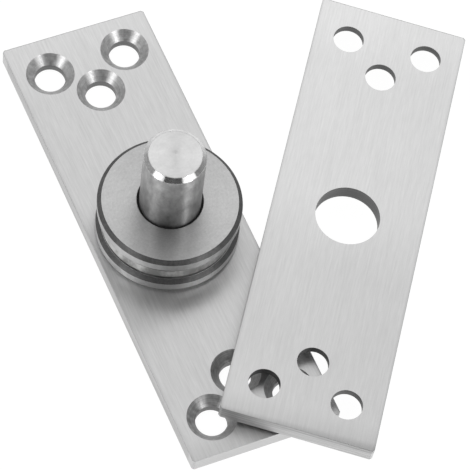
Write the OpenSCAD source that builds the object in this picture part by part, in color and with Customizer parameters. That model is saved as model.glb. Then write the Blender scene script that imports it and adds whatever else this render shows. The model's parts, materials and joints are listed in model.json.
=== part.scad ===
// Pivot hinge for a door: a base plate with a fixed pin, a thrust ball bearing
// that turns on the pin, and a door plate that drops over the pin.
// The door plate is shown lifted off. It lies with its underside on the base
// plate's long edge and one far corner on the ground.
// Millimetres. The origin is on the pin's axis at the base plate's underside.
// X runs across the base plate, Y along it and Z up the pin.

/* [Plates] */
// Length of each plate
plate_l = 96.8; // [88:0.1:140]
// Width of each plate
plate_w = 30; // [30:0.5:50]
// Thickness of the plate stock
plate_t = 3.4; // [2.5:0.1:5]
// Small bevel that breaks the plates' corners, seen from above
corner_cut = 0.4; // [0.2:0.1:3]
// How far the plates' ends run out of square
end_skew = 1.8; // [0:0.1:2.5]

/* [Screw holes] */
// Diameter of a screw hole
screw_d = 6.2; // [4:0.1:7]
// Diameter of the countersink at the face
sink_d = 9.7; // [8:0.1:11]
// Full angle of the countersink
sink_angle = 90; // [82:1:100]
// Distance across between the two outer holes at each end
hole_spread = 16; // [14:0.5:18]
// Distance from a plate's end to its outer holes
hole_end = 7.8; // [6.5:0.1:9]
// Distance from a plate's end to the hole on its centre line
hole_inner = 14.9; // [14:0.1:20]

/* [Pin] */
// Diameter of the pin
pin_d = 11.94; // [10:0.01:12.5]
// Height of the pin above the base plate
pin_rise = 28.2; // [22:0.1:40]
// Bevel around the pin's free end
pin_bevel = 0.9; // [0.3:0.1:2]
// Diameter of the pin's root in the base plate
root_d = 10; // [6:0.1:10]
// Spread of the riveted root at the base plate's underside
rivet_flare = 0.8; // [0.3:0.1:1.5]
// Diameter of the shallow mark that facing left in the middle of the pin's end
centre_d = 1.6; // [0.5:0.1:3]

/* [Bearing] */
// Outer diameter of the bearing
bearing_d = 28; // [26:0.5:30]
// Height of the bearing
bearing_h = 11; // [9.5:0.1:14]
// Bore of the lower washer, which stands clear of the pin
lower_bore = 14; // [13:0.1:15]
// Bevel around both outer edges of a washer
washer_bevel = 0.8; // [0.3:0.1:1.2]
// Bevel around both edges of a washer's bore
bore_bevel = 0.45; // [0.2:0.05:0.8]
// Diameter of a ball
ball_d = 4.762; // [4:0.001:5.2]
// Number of balls
ball_count = 11; // [7:1:11]
// Depth of the ball groove in each washer
groove_depth = 0.42; // [0.3:0.01:0.8]
// How much larger than the ball the groove's radius is
groove_ease = 0.1; // [0.05:0.01:0.3]

/* [Ball cage] */
// Height of the cage's two walls
cage_h = 2.2; // [1.6:0.1:2.6]
// Thickness of the cage's walls and web
cage_t = 0.5; // [0.4:0.05:0.7]
// Space between the balls and the cage's walls
cage_side = 0.32; // [0.1:0.01:0.4]

/* [Fits] */
// Running clearance between the pin and the upper washer's bore
pin_gap = 0.03; // [0.01:0.01:0.1]
// Clearance between the pin and the door plate's hole
door_gap = 0.43; // [0.1:0.01:0.6]
// Clearance between a ball and each groove
race_gap = 0.03; // [0.01:0.01:0.1]
// Clearance around a ball in its pocket
pocket_gap = 0.05; // [0.02:0.01:0.2]

/* [Door plate laid down] */
// Turn of the door plate against the base plate
lay_turn = -36.2; // [-50:0.1:-20]
// Gap between the bearing's side and the door plate's long edge
lay_gap = 4.5; // [2:0.1:10]
// How far the door plate is pushed along its own length
lay_shift = 10.3; // [0:0.1:16]

/* [Hidden] */
$fn = 96;
// Overcut of a cutting tool past the face that it opens
cut = 0.5;
screw_r = screw_d / 2;
sink_r = sink_d / 2;
sink_depth = (sink_r - screw_r) / tan(sink_angle / 2);
pin_r = pin_d / 2;
pin_top = plate_t + pin_rise;
root_r = root_d / 2;
centre_r = centre_d / 2;
centre_depth = centre_r / 8;
door_hole_r = pin_r + door_gap;

// Bearing: both washers are alike apart from their bores
upper_bore = pin_d + 2 * pin_gap;
pitch_r = (bearing_d + upper_bore) / 4;
ball_r = ball_d / 2;
ball_z = plate_t + bearing_h / 2;
washer_t = bearing_h / 2 - ball_r - race_gap + groove_depth;
groove_r = ball_r + groove_ease;
cage_reach = ball_r + cage_side + cage_t;

// A plate's far end, from left to right. It runs out of square, and each corner
// is broken by a small bevel
function end_y(x) = plate_l / 2 - x * tan(end_skew);
far_end = [
    [-plate_w / 2, end_y(-plate_w / 2) - corner_cut],
    [corner_cut - plate_w / 2, end_y(corner_cut - plate_w / 2)],
    [plate_w / 2 - corner_cut, end_y(plate_w / 2 - corner_cut)],
    [plate_w / 2, end_y(plate_w / 2) - corner_cut]
];

// Door plate: it leans on the base plate's long edge, and the corner that
// reaches furthest down the slope touches the ground
door_x = bearing_d / 2 + lay_gap + plate_w / 2;
lean_run = door_x * cos(lay_turn) - lay_shift * sin(lay_turn) - plate_w / 2;
function down_slope(p) = p[0] * cos(lay_turn) - p[1] * sin(lay_turn);
corner_run = max(down_slope(far_end[2]), down_slope(far_end[3]));
lean = asin(plate_t / (lean_run + corner_run));

BALLS = [for (i = [1 : ball_count]) str("ball_", i)];

// ---- Plates ----

// Outline of both plates. The near end is the far end turned half round
module plate_outline() {
    polygon(concat(far_end, [for (p = far_end) -p]));
}

// One screw hole, sunk from the top face
module screw_hole() {
    translate([0, 0, -cut])
        cylinder(r = screw_r, h = plate_t + 2 * cut);
    translate([0, 0, plate_t - sink_depth])
        cylinder(
            r1 = screw_r,
            r2 = sink_r + cut * tan(sink_angle / 2),
            h = sink_depth + cut
        );
}

// Three holes at each end: two near the end and one further in between them
module screw_holes() {
    for (end = [-1, 1]) {
        for (side = [-1, 1])
            translate([side * hole_spread / 2, end * (plate_l / 2 - hole_end), 0])
                screw_hole();
        translate([0, end * (plate_l / 2 - hole_inner), 0])
            screw_hole();
    }
}

// The blank that both plates are cut from, without its centre hole
module drilled_plate() {
    difference() {
        linear_extrude(plate_t)
            plate_outline();
        screw_holes();
    }
}

module base_plate() {
    color("silver")
    difference() {
        drilled_plate();
        translate([0, 0, -cut])
            cylinder(r = root_r, h = plate_t + 2 * cut);
        translate([0, 0, -cut])
            cylinder(
                r1 = root_r + rivet_flare + cut,
                r2 = root_r,
                h = rivet_flare + cut
            );
    }
}

// The same blank with its screws sunk from below, and a plain hole for the pin
module door_blank() {
    difference() {
        translate([0, 0, plate_t])
            mirror([0, 0, 1])
                drilled_plate();
        translate([0, 0, -cut])
            cylinder(r = door_hole_r, h = plate_t + 2 * cut);
    }
}

module door_plate() {
    color("gainsboro")
    translate([plate_w / 2, 0, plate_t])
        rotate([0, lean, 0])
            translate([-plate_w / 2, 0, 0])
                rotate([0, 0, lay_turn])
                    translate([door_x, lay_shift, 0])
                        door_blank();
}

// ---- Pin ----

// Turned pin: its root passes through the base plate and is riveted flush
module pivot_pin() {
    color("lightsteelblue")
    rotate_extrude()
        polygon([
            [0, 0],
            [root_r + rivet_flare, 0],
            [root_r, rivet_flare],
            [root_r, plate_t],
            [pin_r, plate_t],
            [pin_r, pin_top - pin_bevel],
            [pin_r - pin_bevel, pin_top],
            [centre_r, pin_top],
            [0, pin_top - centre_depth]
        ]);
}

// ---- Bearing ----

// Section of a washer that lies on its flat back, groove side up
module washer_section(bore_r) {
    out_r = bearing_d / 2;
    difference() {
        polygon([
            [bore_r + bore_bevel, 0],
            [out_r - washer_bevel, 0],
            [out_r, washer_bevel],
            [out_r, washer_t - washer_bevel],
            [out_r - washer_bevel, washer_t],
            [bore_r + bore_bevel, washer_t],
            [bore_r, washer_t - bore_bevel],
            [bore_r, bore_bevel]
        ]);
        translate([pitch_r, bearing_h / 2 - race_gap + groove_ease])
            circle(r = groove_r);
    }
}

module lower_washer() {
    color("darkgray")
    translate([0, 0, plate_t])
        rotate_extrude()
            washer_section(lower_bore / 2);
}

// The same section turned over, with the bore that runs on the pin
module upper_washer() {
    color("darkgray")
    translate([0, 0, plate_t + bearing_h])
        rotate([180, 0, 0])
            rotate_extrude()
                washer_section(upper_bore / 2);
}

// Where ball i stands in the ring
module at_ball(i) {
    rotate([0, 0, i * 360 / ball_count])
        translate([pitch_r, 0, ball_z])
            children();
}

module ball(i) {
    color("white")
    at_ball(i)
        sphere(d = ball_d);
}

// Pressed cage: an inner and an outer wall joined by a web with a pocket for
// each ball
module ball_cage() {
    color("tan")
    difference() {
        translate([0, 0, ball_z])
            rotate_extrude() {
                translate([pitch_r - cage_reach, -cage_t / 2])
                    square([2 * cage_reach, cage_t]);
                for (side = [-cage_reach, cage_reach - cage_t])
                    translate([pitch_r + side, -cage_h / 2])
                        square([cage_t, cage_h]);
            }
        for (i = [1 : ball_count])
            at_ball(i)
                cylinder(r = ball_r + pocket_gap, h = cage_t + 2 * cut, center = true);
    }
}

// ---- Draw ----

base_plate();
pivot_pin();
lower_washer();
ball_cage();
for (i = [1 : ball_count])
    ball(i);
upper_washer();
door_plate();
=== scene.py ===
# %% [markdown]
# # A pivot hinge in brushed and turned steel
# A heavy door can turn on a pin under its heel. The base plate carries the pin and a
# thrust ball bearing, and the plate on the door drops over the pin. Here the door plate
# is lifted off and leans on the base plate. The shapes are finished solids already, so
# this lesson is about what makes plain steel look like steel: the tool marks that each
# machine leaves, and a studio that gives the metal something to mirror.

import json
import math

import bpy
from mathutils import Matrix, Vector


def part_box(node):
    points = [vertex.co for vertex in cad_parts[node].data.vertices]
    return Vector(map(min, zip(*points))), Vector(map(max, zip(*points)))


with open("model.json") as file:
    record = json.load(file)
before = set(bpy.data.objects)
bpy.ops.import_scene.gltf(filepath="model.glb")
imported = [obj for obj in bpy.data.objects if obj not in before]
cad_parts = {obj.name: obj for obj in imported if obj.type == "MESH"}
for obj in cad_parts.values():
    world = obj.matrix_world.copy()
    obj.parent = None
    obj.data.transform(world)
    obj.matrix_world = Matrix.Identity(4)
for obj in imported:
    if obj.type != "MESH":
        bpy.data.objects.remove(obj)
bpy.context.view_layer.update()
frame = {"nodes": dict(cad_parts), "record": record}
nodes = frame["nodes"]
mm = 0.001

# %% [markdown]
# ## Where the two plates lie
# Brush marks run along a plate, so each plate needs its own directions: across, along
# and up. The base plate lies square to the axes. The door plate is turned and leans, and
# its screw holes tell how: there is one pair of holes near each end, and the axis of the
# pin's hole stands square to the face. Reading them beats typing angles, because the
# marks then follow the plate if it's ever laid another way.

# %% Each plate's middle and directions
mounts = {mount["name"]: mount for mount in frame["record"]["mounts"]}
base_low, base_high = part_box("base_plate")
plate_t = base_high.z - base_low.z


def plate_frame(middle, far_end, near_end, up):
    """A matrix whose columns are across, along and up, standing in the plate's middle."""
    up = Vector(up).normalized()
    along = (Vector(far_end) - Vector(near_end)).normalized()
    turn = Matrix((along.cross(up), along, up)).transposed()
    return Matrix.Translation(Vector(middle)) @ turn.to_4x4()


base_frame = plate_frame(middle=(0, 0, 0), far_end=(0, 1, 0), near_end=(0, -1, 0), up=(0, 0, 1))
door_up = Vector(mounts["door_hole"]["axis"])
door_frame = plate_frame(
    middle=Vector(mounts["door_screws_inner"]["pos_m"]) - plate_t * door_up,
    far_end=mounts["door_screws_a"]["pos_m"],
    near_end=mounts["door_screws_b"]["pos_m"],
    up=door_up,
)
door_turn = math.degrees(door_frame.to_euler().z)
print("plates", round(plate_t / mm, 2), "mm thick, door plate turned", round(door_turn, 1), "degrees")

# %% [markdown]
# ## The camera
# Small hardware is shot from well back with a long lens, so that its edges stay nearly
# parallel. The camera looks down at 60 degrees, from the left and in front, and is held
# a little askew. A camera can be aimed with a Track To constraint, but a fixed rotation
# is simpler to read and stays put when something else moves.

# %% Aim a long lens
aim = Vector((11.76, -6.22, 3.2)) * mm
camera_azimuth = math.radians(-121.41)
camera_elevation = math.radians(60.80)
camera_roll = math.radians(8.92)
camera_distance = 609 * mm


def towards(azimuth, elevation):
    """The direction with this azimuth and elevation, in radians."""
    return Vector((
        math.cos(azimuth) * math.cos(elevation),
        math.sin(azimuth) * math.cos(elevation),
        math.sin(elevation),
    ))


back = towards(camera_azimuth, camera_elevation)
upright = (-back).to_track_quat("-Z", "Y").to_matrix()
held = upright @ Matrix.Rotation(camera_roll, 3, "Z")
bpy.ops.object.camera_add(location=aim + back * camera_distance, rotation=held.to_euler())
camera = bpy.context.object
camera.data.lens = 240
camera.data.clip_start = 10 * mm
camera.data.clip_end = 20
bpy.context.scene.camera = camera
print("camera at", [round(v / mm, 1) for v in camera.location], "mm")

# %% [markdown]
# ## Nodes in few words
# Every material below is a small graph. One function adds a node, sets its options, fills
# its sockets and hands back an output, so that nodes can be written one inside another.
# Sockets are filled in the order in which the node shows them, or by name where there are
# many. The node used most is MapRange, filled with a value, the two ends of its span, and
# the results that those ends give. Colours are written as the hex values that a paint
# program shows, and turned to the linear values that a renderer adds up.

# %% One function for every node
def add(tree, kind, inputs=(), output=None, **options):
    """Adds one node and returns its first output, or the one that is named.

    inputs is a list in the order of the node's sockets, or a dict of their names. Each
    entry is a plain value or the output of another node.
    """
    node = tree.nodes.new("ShaderNode" + kind)
    for name, value in options.items():
        setattr(node, name, value)
    if isinstance(inputs, dict):
        filled = [(node.inputs[name], value) for name, value in inputs.items()]
    else:
        filled = zip([socket for socket in node.inputs if socket.enabled], inputs)
    for socket, value in filled:
        if isinstance(value, bpy.types.NodeSocket):
            tree.links.new(value, socket)
        else:
            socket.default_value = value
    shown = [socket for socket in node.outputs if socket.enabled]
    return next((socket for socket in shown if output in (None, socket.name)), None)


def linear(hex_colour):
    """The linear colour of an sRGB hex value such as c9c9c7."""
    parts = [int(hex_colour[i:i + 2], 16) / 255 for i in (0, 2, 4)]
    return [p / 12.92 if p <= 0.04045 else ((p + 0.055) / 1.055) ** 2.4 for p in parts] + [1.0]


print("mid grey 808080 is", round(linear("808080")[0], 3), "in linear light")

# %% [markdown]
# ## The studio
# Bare metal shows its surroundings, so the lighting is most of the material. A level face
# mirrors the ceiling beyond it, which is brightest halfway up and dims overhead, so a
# plate is a little lighter at its far end. Bevels and countersinks lean towards the
# camera and mirror the room on the camera's own side. There a black card hangs between
# two softboxes, which gives black, white and grey sectors round every cone. An image of
# a real studio could do all this, but a few nodes can be tuned for one surface at a time.

# %% A bright ceiling
softly = {"interpolation_type": "SMOOTHSTEP"}
world = bpy.data.worlds.new("Studio")
bpy.context.scene.world = world
world.use_nodes = True
room = world.node_tree
room.nodes.clear()
look = add(room, "TexCoord", output="Generated")

# Height is 0 at the horizon and 1 straight up, so it is the sine of the angle
height = add(room, "SeparateXYZ", [look], output="Z")
wall_top, brightest_from, brightest_to, overhead_from = 0.25, 0.64, 0.80, 0.88
wall_glow, ceiling_glow, overhead_share = 0.33, 1.30, 0.77
ceiling = add(room, "MapRange", [height, wall_top, brightest_from, wall_glow, ceiling_glow], **softly)
overhead = add(room, "MapRange", [height, brightest_to, overhead_from, 1.0, overhead_share], **softly)
bright_angles = [round(math.degrees(math.asin(h))) for h in (brightest_from, brightest_to)]
print("the ceiling is brightest", bright_angles, "degrees up")


# %% A black card in front, over the camera
def band(tree, value, low, high, edge, **options):
    """1 where value lies between low and high, and 0 elsewhere, fading within edge of each."""
    rise = add(tree, "MapRange", [value, low - edge, low + edge, 0.0, 1.0], **options)
    fall = add(tree, "MapRange", [value, high - edge, high + edge, 1.0, 0.0], **options)
    return add(tree, "Math", [rise, fall], operation="MULTIPLY")


from_camera = add(room, "VectorRotate", {"Vector": look, "Angle": -camera_azimuth}, rotation_type="Z_AXIS")
to_camera, to_side, _ = add(room, "SeparateXYZ", [from_camera]).node.outputs
angle_round = add(room, "Math", [to_side, to_camera], operation="ARCTAN2")
card_left, card_right = math.radians(-32.44), math.radians(39.44)
card_glow = 0.045
card_width = band(room, angle_round, card_left, card_right, 0.06, **softly)
card_height = band(room, height, 0.36, 0.70, 0.04, **softly)
card = add(room, "Math", [card_width, card_height], operation="MULTIPLY")
blackened = add(room, "MapRange", [card, 0.0, 1.0, 1.0, card_glow])
print("the card spans", round(math.degrees(card_right - card_left)), "degrees")


# %% A grey flag, and the room put together
def shaded(tree, colour, *tones):
    """A colour times every tone. A tone of 1 leaves it as it is."""
    for tone in tones:
        colour = add(tree, "VectorMath", [colour, tone], operation="SCALE")
    return colour


# The flag dims the camera's side of the room, most of all 15 degrees round from it
flag_way = towards(math.radians(15), 0)
flag_share = 0.60
under_flag = add(room, "VectorMath", [from_camera, flag_way], operation="DOT_PRODUCT")
flagged = add(room, "MapRange", [under_flag, -0.42, 0.42, 1.0, flag_share], **softly)
white = (1, 1, 1)
air = add(room, "Background", [shaded(room, white, ceiling, overhead, flagged, blackened), 1.0])
add(room, "OutputWorld", [air])
print(len(room.nodes), "nodes in the room")


# %% Softboxes left and right of the camera
def softbox(name, azimuth, elevation, distance, width, height, power):
    """A light that faces the object. Angles are in degrees, sizes in metres and power in watts."""
    way = towards(camera_azimuth + math.radians(azimuth), math.radians(elevation))
    place = aim + way * distance
    turn = (-way).to_track_quat("-Z", "Y").to_euler()
    bpy.ops.object.light_add(type="AREA", location=place, rotation=turn)
    lamp = bpy.context.object
    lamp.name = name
    lamp.data.name = name
    lamp.data.shape = "RECTANGLE"
    lamp.data.size = width
    lamp.data.size_y = height
    lamp.data.energy = power
    lamp.visible_camera = False


# A narrow strip inside each box gives the thin streaks down the pin
softbox("Softbox_left", azimuth=-42, elevation=24, distance=0.8, width=0.44, height=0.50, power=1.1)
softbox("Softbox_right", azimuth=54, elevation=22, distance=0.8, width=0.55, height=0.50, power=1.15)
softbox("Strip_left", azimuth=-46, elevation=24, distance=0.75, width=0.13, height=0.50, power=0.45)
softbox("Strip_right", azimuth=54, elevation=22, distance=0.75, width=0.11, height=0.50, power=0.8)

# %% [markdown]
# ## The light table
# The floor could be white card under a strong lamp, but then every hole would show a grey
# shadow at its bottom. Opal glass lit from below stays white through the holes. It has
# little colour of its own, so that the softboxes don't brighten it further, and the
# upright sides of the plates mirror an even white. Its lamps stand under the middle, so
# the glow fades further out, and bevels that mirror the horizon stay a little darker.

# %% A sheet of glowing opal glass
bpy.ops.object.select_all(action="DESELECT")
bpy.ops.mesh.primitive_plane_add(size=8, location=(aim.x, aim.y, 0))
floor = bpy.context.object
floor.name = "Light_table"
opal = bpy.data.materials.new("Opal_glass_lit_from_below")
opal.use_nodes = True
tree = opal.node_tree
tree.nodes.clear()
on_table = add(tree, "TexCoord", output="Object")
from_middle = add(tree, "VectorMath", [on_table], operation="LENGTH")
full_glow_to, low_glow_from = 0.11, 0.45
full_glow, low_glow = 0.96, 0.52
glow = add(tree, "MapRange", [from_middle, full_glow_to, low_glow_from, full_glow, low_glow], **softly)
sheet = add(tree, "BsdfPrincipled", {
    "Base Color": linear("505050"),
    "Roughness": 0.9,
    "Specular IOR Level": 0.0,
    "Emission Color": linear("ffffff"),
    "Emission Strength": glow,
})
add(tree, "OutputMaterial", [sheet])
floor.data.materials.append(opal)
print("floor at", round(floor.location.z / mm, 2), "mm")

# %% [markdown]
# ## What a surface knows about itself
# The marks on machined steel follow the tool. A belt brushes a plate in straight lines,
# while a lathe or a countersink cuts rings. To place them, a material asks where a point
# lies on the piece and which way the surface faces there. That also tells a level face
# from a cone or a wall.

# %% Places and faces
def start_metal(name):
    """An empty material, with its tree."""
    material = bpy.data.materials.new(name)
    material.use_nodes = True
    material.node_tree.nodes.clear()
    return material, material.node_tree


def place_on(tree, piece_frame):
    """Millimetres across, along and up from the middle of a piece."""
    local = add(tree, "Mapping", {
        "Vector": add(tree, "TexCoord", output="Object"),
        "Location": piece_frame.to_translation(),
        "Rotation": piece_frame.to_euler(),
    }, vector_type="TEXTURE")
    return add(tree, "VectorMath", [local, (1 / mm,) * 3], operation="MULTIPLY")


# Slope is 1 on a level face, about 0.7 on a cone and 0 on an upright wall
level_slope = 0.95
lowest_cone_slope = 0.4
slope_fade = 0.02


def surface_on(tree, up):
    """Which way the surface faces, and masks for its level faces and its cones."""
    facing = add(tree, "NewGeometry", output="Normal")
    rise = add(tree, "VectorMath", [facing, up], operation="DOT_PRODUCT")
    slope = add(tree, "Math", [rise], operation="ABSOLUTE")
    fade_in, fade_out = level_slope - slope_fade, level_slope + slope_fade
    level = add(tree, "MapRange", [slope, fade_in, fade_out, 0.0, 1.0])
    cone = band(tree, slope, lowest_cone_slope, level_slope, slope_fade)
    return facing, level, cone


print("a place on a piece is in millimetres,", round(1 / mm), "to Blender's metre")

# %% Grain and tint
# Nearly all values of a noise pattern lie in this span, so that's what gets stretched
noise_span = (0.3, 0.7)


def grain(tree, place, size, detail, seed=0.0):
    """Streaks of this size across, along and up in millimetres, as values round 0.5."""
    cells = add(tree, "VectorMath", [place, [1 / length for length in size]], operation="MULTIPLY")
    return add(tree, "TexNoise", {
        "Vector": cells,
        "W": seed,
        "Scale": 1.0,
        "Detail": detail,
        "Roughness": 0.6,
    }, noise_dimensions="4D")


def tinted(tree, pattern, shades, span=noise_span):
    """A colour between a dark and a light shade, following a pattern."""
    dark, light = (linear(shade) for shade in shades)
    share = add(tree, "MapRange", [pattern, *span, 0.0, 1.0])
    return add(tree, "Mix", [share, dark, light], data_type="RGBA")


print("patterns are stretched from", noise_span)

# %% [markdown]
# ## Gloss that spreads sideways
# Grooves scatter light across themselves and hardly along themselves. A shader calls that
# anisotropy, and its tangent is the way in which the light spreads. Rings on a wall or a
# cone spread it down the surface. On a level face, straight belt marks spread it across
# the plate, and turned rings spread it out from the axis. Drawing each groove as a bump
# would also do it, but grooves this fine would only flicker.

# %% Groove direction and the finished shader
groove_depth = 0.02 * mm


def spread_on(tree, facing, up, level, on_level):
    """The way in which the grooves spread the light, given how they do so on level faces."""
    around = add(tree, "VectorMath", [facing, up], operation="CROSS_PRODUCT")
    down = add(tree, "VectorMath", [facing, around], operation="CROSS_PRODUCT")
    return add(tree, "Mix", [level, down, on_level], data_type="VECTOR")


def finish_metal(tree, colour, roughness, relief, relief_strength, shape, spread, anisotropy):
    """Adds a little relief to the shape, and joins everything in one metal shader."""
    bump = add(tree, "Bump", {
        "Height": relief,
        "Strength": relief_strength,
        "Distance": groove_depth,
        "Normal": shape,
    })
    metal = add(tree, "BsdfPrincipled", {
        "Base Color": colour,
        "Metallic": 1.0,
        "Roughness": roughness,
        "Anisotropic": anisotropy,
        "Tangent": spread,
        "Normal": bump,
    })
    add(tree, "OutputMaterial", [metal])


print("grooves are drawn", round(groove_depth / mm, 3), "mm deep")

# %% [markdown]
# ## Brushed stainless plate
# Both plates are flat stainless bar, brushed along their length with an abrasive belt.
# The eye reads that from long hair lines, lighter and darker, and from a gloss that
# spreads sideways. The screw holes were cut after brushing. A countersink leaves shiny
# rings, the drill leaves a dull wall, and the saw leaves level lines on the ends. The walls
# of the holes are painted dark as well, as painted shade inside them. The belt also rounds
# the long edges a little, and the dark line that this draws along them is painted into the
# colour, as painted shade. Lighter and darker parts from end to end and from side to side
# are painted light and shade too. One material holds all these finishes, because they
# meet in one piece of metal, and the slope of the surface and the place on the plate tell
# them apart.

# %% Marks of the belt, the drill and the saw
# Each has its size across, along and up in mm, its detail, and a seed that keeps it from
# lining up with the others. Real hair lines are finer. These are as fine as can show
plate_patterns = {
    "hair": ((0.3, 7, 0.3), 2, 0),
    "scratch": ((0.28, 2.4, 0.28), 3, 7),
    "streak": ((1.3, 30, 1.3), 3, 4),
    "cloud": ((9, 14, 9), 3, 9),
    "rings": ((40, 40, 0.16), 2, 2),
    "chatter": ((0.8, 0.8, 1.2), 3, 11),
    "saw": ((14, 14, 0.3), 3, 5),
}
print(len(plate_patterns), "patterns on a plate, hair lines", plate_patterns["hair"][0][0], "mm wide")


# %% Colour of the brushed face
# Millimetres from a plate's middle between which painted light and shade change
painted_near_shade_span = (6, -16)
painted_far_light_span = (32, 48)
painted_light_left_to_right = (-14, 14)
painted_long_edge_shade = (14.45, 14.8)
painted_near_edge_shade = (-48.6, -46.8)


def brushed_face(tree, marks, x, y, side, handled_and_shaded, finish):
    """Steel that reflects a little over half of the light. Random tones, stains and painted light and
    shade change that slightly.
    """
    # Darker near the end where it was handled: partly stain, partly painted shade
    stain_and_shade = add(tree, "MapRange", [marks["scratch"], *noise_span, 1.0, 0.86])
    return shaded(
        tree,
        tinted(tree, marks["hair"], finish["face"]),
        add(tree, "MapRange", [marks["streak"], *noise_span, 0.985, 1.01]),
        add(tree, "MapRange", [marks["scratch"], *noise_span, 0.965, 1.035]),
        add(tree, "MapRange", [marks["cloud"], *noise_span, 0.98, 1.015]),
        # Stains and painted shade where it was handled, and painted light and shade from end to end and
        # from side to side
        add(tree, "Mix", [handled_and_shaded, 1.0, stain_and_shade]),
        add(tree, "MapRange", [y, *painted_near_shade_span, 1.0, finish["painted_near_shade"]], **softly),
        add(tree, "MapRange", [y, *painted_far_light_span, 1.0, 1.07], **softly),
        add(tree, "MapRange", [x, *painted_light_left_to_right, finish["painted_light_left"], finish["painted_light_right"]], **softly),
        # Painted shade: dark lines along the long edges and at the near end, where the edges are rounded
        add(tree, "MapRange", [side, *painted_long_edge_shade, 1.0, 0.90], **softly),
        add(tree, "MapRange", [y, *painted_near_edge_shade, finish["painted_end_edge_shade"], 1.0], **softly),
    )


# The dark line on a long edge is painted shade standing in for its rounding
print("the dark line on a long edge is", round(base_high.x / mm - painted_long_edge_shade[0], 2), "mm wide")


# %% Colours of holes, sides and ends
painted_cone_shade_near_to_far = (-30, 30)
painted_shade_across_end = (-15, 4)
painted_shade_under_top_edge = (3.2, 1.6)


def countersunk_cone(tree, marks, y):
    """Shiny rings, broken up where the cutter chattered, and painted shade that darkens the near cones."""
    cut = add(tree, "Math", [marks["rings"], marks["chatter"]], operation="MULTIPLY")
    # Painted light and shade: cones darker towards the near end and lighter towards the far end
    tone = add(tree, "MapRange", [y, *painted_cone_shade_near_to_far, 0.93, 1.04], **softly)
    return shaded(tree, tinted(tree, cut, ("a2a2a2", "dadada"), span=(0.12, 0.42)), tone)


def sawn_end(tree, marks, x, z, finish):
    """Level saw lines, with painted shade to one side and under the top edge."""
    return shaded(
        tree,
        tinted(tree, marks["saw"], finish["end"]),
        # Painted shade on the end face: darker to one side and under the top edge
        add(tree, "MapRange", [x, *painted_shade_across_end, finish["painted_end_face_shade"], 1.0], **softly),
        add(tree, "MapRange", [z, *painted_shade_under_top_edge, finish["painted_end_edge_shade"], 1.0], **softly),
    )


def plate_walls(tree, marks, x, z, at_side, at_end, finish):
    """Everything upright: the walls of holes, painted dark as shade, rolled long sides and sawn ends."""
    # The walls of the holes are painted dark: painted shade inside the holes
    shaded_hole_wall = tinted(tree, marks["rings"], finish["shaded_hole_wall"])
    rolled = tinted(tree, marks["streak"], ("b4b4b4", "c8c8c8"))
    wall = add(tree, "Mix", [at_side, shaded_hole_wall, rolled], data_type="RGBA")
    return add(tree, "Mix", [at_end, wall, sawn_end(tree, marks, x, z, finish)], data_type="RGBA")


# %% Brushed plate material
# Millimetres from a plate's middle at which its long sides and its ends begin
side_from = 14.5
end_from = 46.0
handled_and_shaded_part = (-48.5, -42.5)
worn_radius = 0.25


def brushed_plate(name, piece_frame, finish):
    """Belt-brushed stainless with its holes, countersinks, rolled sides and sawn ends, and painted light
    and shade.
    """
    material, tree = start_metal(name)
    place = place_on(tree, piece_frame)
    across, _, up = (piece_frame.col[i].to_3d() for i in range(3))
    facing, level, cone = surface_on(tree, up)
    marks = {mark: grain(tree, place, *pattern) for mark, pattern in plate_patterns.items()}
    x, y, z = add(tree, "SeparateXYZ", [place]).node.outputs
    side = add(tree, "Math", [x], operation="ABSOLUTE")
    reach = add(tree, "Math", [y], operation="ABSOLUTE")
    at_side = add(tree, "Math", [side, side_from], operation="GREATER_THAN")
    at_end = add(tree, "Math", [reach, end_from], operation="GREATER_THAN")

    # The near end was handled most, and has gone dull. It is darker there too, partly stain and partly
    # painted shade
    handled_and_shaded = add(tree, "MapRange", [y, *handled_and_shaded_part, 1.0, 0.0], **softly)
    wall = plate_walls(tree, marks, x, z, at_side, at_end, finish)
    face = brushed_face(tree, marks, x, y, side, handled_and_shaded, finish)
    flat = add(tree, "Mix", [level, wall, face], data_type="RGBA")
    colour = add(tree, "Mix", [cone, flat, countersunk_cone(tree, marks, y)], data_type="RGBA")

    # Belt-brushed steel has a roughness of about a third, and worn or drilled steel more
    brushed = add(tree, "MapRange", [marks["hair"], *noise_span, 0.30, 0.37])
    worn = add(tree, "Math", [handled_and_shaded, 0.09, brushed], operation="MULTIPLY_ADD")
    rough_flat = add(tree, "Mix", [level, 0.42, worn])
    rough_cone = add(tree, "MapRange", [marks["chatter"], *noise_span, 0.32, 0.46])

    # Only the outer edges are worn round. The rims of the holes are crisp
    outer = add(tree, "Math", [at_side, at_end], operation="MAXIMUM")
    worn_edge = add(tree, "Bevel", {"Radius": worn_radius * mm}, samples=6)
    finish_metal(
        tree, colour,
        roughness=add(tree, "Mix", [cone, rough_flat, rough_cone]),
        relief=add(tree, "Mix", [level, marks["rings"], marks["hair"]]),
        relief_strength=0.12,
        shape=add(tree, "Mix", [outer, facing, worn_edge], data_type="VECTOR"),
        spread=spread_on(tree, facing, up, level, across),
        anisotropy=0.72,
    )
    return material


# %% Two plates from two strips of bar
# Each finish also holds painted light and shade: dark hole walls, tones near, left and right, and the
# end's dark edge and side
base_finish = {
    "face": ("c1c1c1", "cecece"),
    "end": ("c6c6c6", "d0d0d0"),
    "shaded_hole_wall": ("606060", "888888"),
    "painted_near_shade": 1.0,
    "painted_light_left": 0.965,
    "painted_light_right": 0.998,
    "painted_end_edge_shade": 1.0,
    "painted_end_face_shade": 1.0,
}
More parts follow.
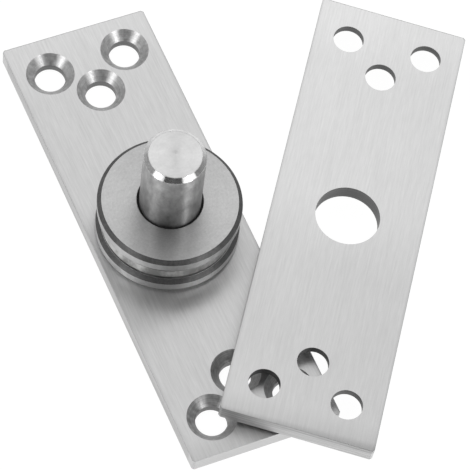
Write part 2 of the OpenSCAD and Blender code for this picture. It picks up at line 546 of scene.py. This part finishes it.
# The door plate is a shade lighter, with more painted shade on its near half, its near edge and one side
# of its end
door_finish = {
    "face": ("c6c6c6", "d1d1d1"),
    "end": ("b4b4b4", "e4e4e4"),
    "shaded_hole_wall": ("505050", "747474"),
    "painted_near_shade": 0.91,
    "painted_light_left": 1.015,
    "painted_light_right": 0.97,
    "painted_end_edge_shade": 0.76,
    "painted_end_face_shade": 0.75,
}
base_steel = brushed_plate("Brushed_stainless_base", base_frame, base_finish)
door_steel = brushed_plate("Brushed_stainless_door", door_frame, door_finish)
print(len(base_steel.node_tree.nodes), "nodes in the brushed plate")

# %% [markdown]
# ## Turned and ground steel
# The pin and the bearing's washers were made on a lathe and a grinder, so their marks run
# round the axis. On a level face the rings are circles, and on the sides they are level
# lines. Hardened bearing steel is ground finer than the pin, and its broken edges stay
# dull and dark, as the lathe and the hardening left them. Round the bore, painted shade
# darkens them further, and bevels that face down carry a painted highlight. The pin's side
# gets painted shade at its foot and painted light towards its top. The same function also
# makes the steel of the cage and the balls, because they have these patterns too and
# differ only in shade, roughness and wear.

# %% Colours of turned faces, bevels and sides
# Millimetres from the axis between which a tone changes
centre_mark = (0.3, 2.2)
# Painted shade of the gap by the pin darkens a bore's bevel out to here
bore_edge = (6.5, 8.0)


def turned_face(tree, finish, marks, place, radius):
    """A level face: fine rings and specks, and a slow swirl that the tool left."""
    swirl = grain(tree, place, (2.4, 1.2, 2.4), detail=2, seed=3)
    return shaded(
        tree,
        tinted(tree, marks, finish["face"]),
        add(tree, "MapRange", [radius, *centre_mark, finish["centre_tone"], 1.0], **softly),
        add(tree, "MapRange", [swirl, *noise_span, 0.945, 1.04]),
    )


def turned_bevel(tree, finish, marks, patches, radius, facing):
    """A broken edge: patchy above, with painted shade near the bore and a painted highlight where it faces
    down.
    """
    bevel = shaded(
        tree,
        tinted(tree, marks, finish["bevel"]),
        add(tree, "MapRange", [patches, *noise_span, 0.82, 1.22]),
        # Painted shade round the bore
        add(tree, "MapRange", [radius, *bore_edge, finish["bore_tone"], 1.0], **softly),
    )
    # Painted highlight: bevels that face down are bright
    rise = add(tree, "SeparateXYZ", [facing], output="Z")
    painted_highlight_facing_down = add(tree, "MapRange", [rise, -0.3, -0.5, 0.0, 1.0], **softly)
    return add(tree, "Mix", [painted_highlight_facing_down, bevel, linear("c8c8c8")], data_type="RGBA")


def turned_side(tree, finish, patches, specks, z):
    """An upright side: patches and specks, and painted light and shade that change from foot to top."""
    return shaded(
        tree,
        tinted(tree, patches, finish["side"], span=finish["patch_span"]),
        add(tree, "MapRange", [specks, *noise_span, 0.93, 1.07]),
        # Painted shade at the foot and painted light towards the top
        add(tree, "MapRange", [z, *finish["foot_to_top"], *finish["foot_to_top_tone"]]),
    )


print("the bore's edge is darkened out to", bore_edge[1], "mm from the axis")


# %% Turned steel material
plain_finish = {
    "ring": 0.3,
    "patch": 1.6,
    "patch_span": noise_span,
    "edge": 0.12,
    "anisotropy": 0.6,
    "centre_tone": 1.0,
    "bore_tone": 1.0,
    "foot_to_top": (0.0, 1.0),
    "foot_to_top_tone": (1.0, 1.0),
}


def turned_steel(name, **own_finish):
    """Steel with rings round the pin's axis. Sizes in millimetres."""
    finish = {**plain_finish, **own_finish}
    up = (0, 0, 1)
    material, tree = start_metal(name)
    place = place_on(tree, Matrix.Identity(4))
    facing, level, cone = surface_on(tree, up)
    x, y, z = add(tree, "SeparateXYZ", [place]).node.outputs
    outward = add(tree, "CombineXYZ", [x, y])
    radius = add(tree, "VectorMath", [outward], operation="LENGTH")

    ring, patch = finish["ring"], finish["patch"]
    turns = add(tree, "CombineXYZ", {"X": radius, "Z": z})
    rings = grain(tree, turns, (ring, 1, ring), detail=3)
    patches = grain(tree, place, (patch, patch, 2 * patch), detail=3, seed=6)
    specks = grain(tree, place, (0.45, 0.45, 0.45), detail=3, seed=8)
    marks = add(tree, "Mix", [0.6, rings, specks])

    face = turned_face(tree, finish, marks, place, radius)
    bevel = turned_bevel(tree, finish, marks, patches, radius, facing)
    side = turned_side(tree, finish, patches, specks, z)
    straight = add(tree, "Mix", [level, side, face], data_type="RGBA")

    rough_side = add(tree, "MapRange", [patches, *noise_span, *finish["rough_side"]])
    rough_straight = add(tree, "Mix", [level, rough_side, finish["rough_face"]])
    from_axis = add(tree, "VectorMath", [outward], operation="NORMALIZE")
    finish_metal(
        tree,
        colour=add(tree, "Mix", [cone, straight, bevel], data_type="RGBA"),
        roughness=add(tree, "Mix", [cone, rough_straight, finish["rough_bevel"]]),
        relief=rings,
        relief_strength=0.1,
        shape=add(tree, "Bevel", {"Radius": finish["edge"] * mm}, samples=6),
        spread=spread_on(tree, facing, up, level, from_axis),
        anisotropy=finish["anisotropy"],
    )
    return material


# %% Steel for the pin, the washers, the cage and the balls
# The pin has coarse rings that draw its highlights out lengthways. Painted shade darkens it at its foot
# and painted light brightens it towards its top
pin_steel = turned_steel(
    "Turned_pin_steel", anisotropy=0.9, edge=0.28, centre_tone=0.88,
    face=("cecece", "d9d9d9"), bevel=("c8c8c8", "e0e0e0"), side=("787878", "9c9c9c"),
    rough_face=0.30, rough_bevel=0.18, rough_side=(0.38, 0.46),
    foot_to_top=(16.0, 31.0), foot_to_top_tone=(0.78, 1.65),
)
# Fine grinding gives the washers an even satin face between dull, dark edges. Painted shade darkens the
# bevel round the bore further
washer_steel = turned_steel(
    "Ground_bearing_steel", anisotropy=0.85, edge=0.18, ring=0.2, bore_tone=0.45,
    face=("adadad", "c6c6c6"), bevel=("545454", "707070"), side=("acacac", "bebebe"),
    rough_face=0.32, rough_bevel=0.56, rough_side=(0.38, 0.44),
)
# The cage is pressed from sheet, which leaves it patchy
cage_steel = turned_steel(
    "Pressed_cage_steel", ring=0.4, patch=2.4, patch_span=(0.38, 0.62),
    face=("8e8e8c", "a6a6a4"), bevel=("8e8e8c", "a6a6a4"), side=("989897", "d8d8d7"),
    rough_face=0.35, rough_bevel=0.35, rough_side=(0.32, 0.40),
)
# The balls are polished until they mirror the room
ball_steel = turned_steel(
    "Polished_ball_steel", anisotropy=0.0, ring=0.6,
    face=("c8c8c8", "d4d4d4"), bevel=("c8c8c8", "d4d4d4"), side=("c8c8c8", "d4d4d4"),
    rough_face=0.1, rough_bevel=0.1, rough_side=(0.06, 0.12),
)
print(len(pin_steel.node_tree.nodes), "nodes in each of the four steels")

# %% Give every piece its steel
steel_of = {
    "base_plate": base_steel,
    "door_plate": door_steel,
    "pivot_pin": pin_steel,
    "lower_washer": washer_steel,
    "upper_washer": washer_steel,
    "ball_cage": cage_steel,
}
for name, piece in nodes.items():
    piece.data.materials.clear()
    piece.data.materials.append(steel_of.get(name, ball_steel))
print({name: piece.data.materials[0].name for name, piece in nodes.items() if name in steel_of})

# %% [markdown]
# ## White stays white
# The film curve that Blender starts with greys down a white floor. The plain curve keeps
# a lit white floor white and the steel's greys where the lights put them.

# %% Plain tone curve
view = bpy.context.scene.view_settings
view.view_transform = "Standard"
print("tone curve:", view.view_transform)
